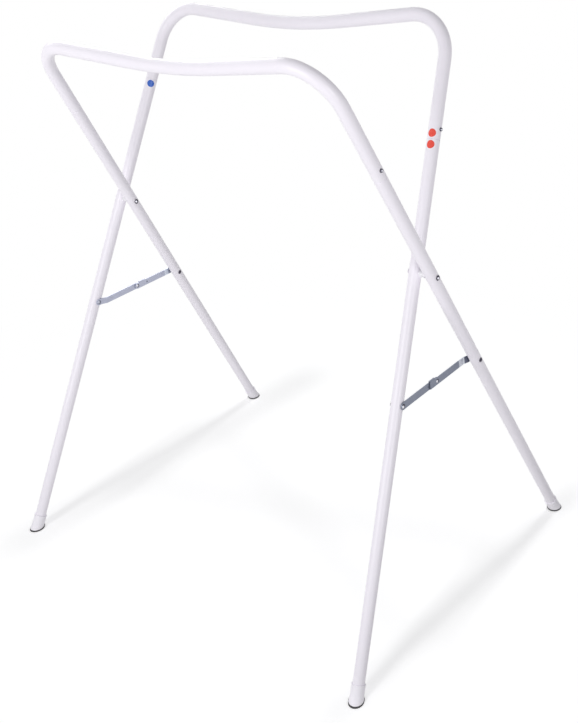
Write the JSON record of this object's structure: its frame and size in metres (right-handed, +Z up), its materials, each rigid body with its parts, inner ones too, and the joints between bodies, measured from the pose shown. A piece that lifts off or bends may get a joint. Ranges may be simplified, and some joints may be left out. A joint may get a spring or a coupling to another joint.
{
  "type": "baby bath stand",
  "caption": "Folding tube stand for a baby bath: crossed bent-tube frames on a pivot, jointed stop braces, push-fit rails and cut foot caps.",
  "frame": {"origin": "on the floor under the middle of the open stand, halfway between the four feet", "axes": "+X along the bath rails towards their higher ends, -Y towards the front rail, +Z up"},
  "size_m": [0.8618, 0.643, 0.9379],
  "materials": {
    "tube_paint": "satin",
    "cap_plastic": "satin",
    "spacer_plastic": "satin",
    "pad_rubber": "matt",
    "rivet_steel": "dark, satin",
    "knee_rivet_steel": "zinc plated",
    "link_zinc": "zinc plated, blue tint",
    "button_steel": "polished",
    "spring_steel": "oiled spring steel",
    "dot_red": "printed film",
    "dot_blue": "printed film"
  },
  "bodies": {
    "rear_rail_frame": {"rear_rail": "tube_paint", "front_right_leg": "tube_paint", "front_left_leg": "tube_paint", "front_right_button_spring": "spring_steel", "front_left_button_spring": "spring_steel", "front_right_foot_cap": "cap_plastic", "front_left_foot_cap": "cap_plastic", "front_right_foot_pad": "pad_rubber", "front_left_foot_pad": "pad_rubber", "right_pivot_rivet": "rivet_steel", "left_pivot_rivet": "rivet_steel", "right_pivot_spacer": "spacer_plastic", "left_pivot_spacer": "spacer_plastic", "right_plain_link_rivet": "rivet_steel", "left_stop_link_rivet": "rivet_steel", "red_dot_rail": "dot_red", "red_dot_leg": "dot_red", "blue_dot_leg": "dot_blue"},
    "front_rail_frame": {"front_rail": "tube_paint", "rear_right_leg": "tube_paint", "rear_left_leg": "tube_paint", "rear_right_button_spring": "spring_steel", "rear_left_button_spring": "spring_steel", "rear_right_foot_cap": "cap_plastic", "rear_left_foot_cap": "cap_plastic", "rear_right_foot_pad": "pad_rubber", "rear_left_foot_pad": "pad_rubber", "right_stop_link_rivet": "rivet_steel", "left_plain_link_rivet": "rivet_steel"},
    "right_stop_link": {"right_stop_link": "link_zinc", "right_knee_rivet_head": "knee_rivet_steel"},
    "right_plain_link": {"right_plain_link": "link_zinc", "right_knee_rivet_tail": "knee_rivet_steel"},
    "left_stop_link": {"left_stop_link": "link_zinc", "left_knee_rivet_head": "knee_rivet_steel"},
    "left_plain_link": {"left_plain_link": "link_zinc", "left_knee_rivet_tail": "knee_rivet_steel"},
    "rear_right_button": {"rear_right_button": "button_steel"},
    "rear_left_button": {"rear_left_button": "button_steel"},
    "front_right_button": {"front_right_button": "button_steel"},
    "front_left_button": {"front_left_button": "button_steel"}
  },
  "joints": [
    {"name": "fold", "type": "hinge", "parent": "rear_rail_frame", "child": "front_rail_frame", "pos_m": [0, 0, 0.60232], "axis": [-1, 0, 0], "range_deg": [0, 50]},
    {"name": "right_stop_link_turn", "type": "hinge", "parent": "front_rail_frame", "child": "right_stop_link", "pos_m": [0.34932, 0.09034, 0.42501], "axis": [-0.9938, 0.0506, -0.0993], "range_deg": [0, 60.8]},
    {"name": "right_plain_link_turn", "type": "hinge", "parent": "rear_rail_frame", "child": "right_plain_link", "pos_m": [0.34932, -0.09034, 0.42501], "axis": [0.9938, 0.0506, 0.0993], "range_deg": [0, 60.8]},
    {"name": "left_stop_link_turn", "type": "hinge", "parent": "rear_rail_frame", "child": "left_stop_link", "pos_m": [-0.34932, -0.09034, 0.42501], "axis": [0.9938, -0.0506, -0.0993], "range_deg": [0, 60.8]},
    {"name": "left_plain_link_turn", "type": "hinge", "parent": "front_rail_frame", "child": "left_plain_link", "pos_m": [-0.34932, 0.09034, 0.42501], "axis": [-0.9938, -0.0506, 0.0993], "range_deg": [0, 60.8]},
    {"name": "rear_right_button_press", "type": "slide", "parent": "front_rail_frame", "child": "rear_right_button", "axis": [-0.9938, 0.0506, -0.0993], "range_m": [0, 0.0044], "stiffness_N_per_m": 600, "springref_m": -0.003},
    {"name": "rear_left_button_press", "type": "slide", "parent": "front_rail_frame", "child": "rear_left_button", "axis": [0.9938, 0.0506, -0.0993], "range_m": [0, 0.0044], "stiffness_N_per_m": 600, "springref_m": -0.003},
    {"name": "front_right_button_press", "type": "slide", "parent": "rear_rail_frame", "child": "front_right_button", "axis": [-0.9938, -0.0506, -0.0993], "range_m": [0, 0.0044], "stiffness_N_per_m": 600, "springref_m": -0.003},
    {"name": "front_left_button_press", "type": "slide", "parent": "rear_rail_frame", "child": "front_left_button", "axis": [0.9938, -0.0506, -0.0993], "range_m": [0, 0.0044], "stiffness_N_per_m": 600, "springref_m": -0.003}
  ],
  "couplings": [
    {"joint": "right_stop_link_turn", "follows": "fold", "ratio": 1.2146},
    {"joint": "right_plain_link_turn", "follows": "fold", "ratio": 1.2146},
    {"joint": "left_stop_link_turn", "follows": "fold", "ratio": 1.2146},
    {"joint": "left_plain_link_turn", "follows": "fold", "ratio": 1.2146}
  ]
}
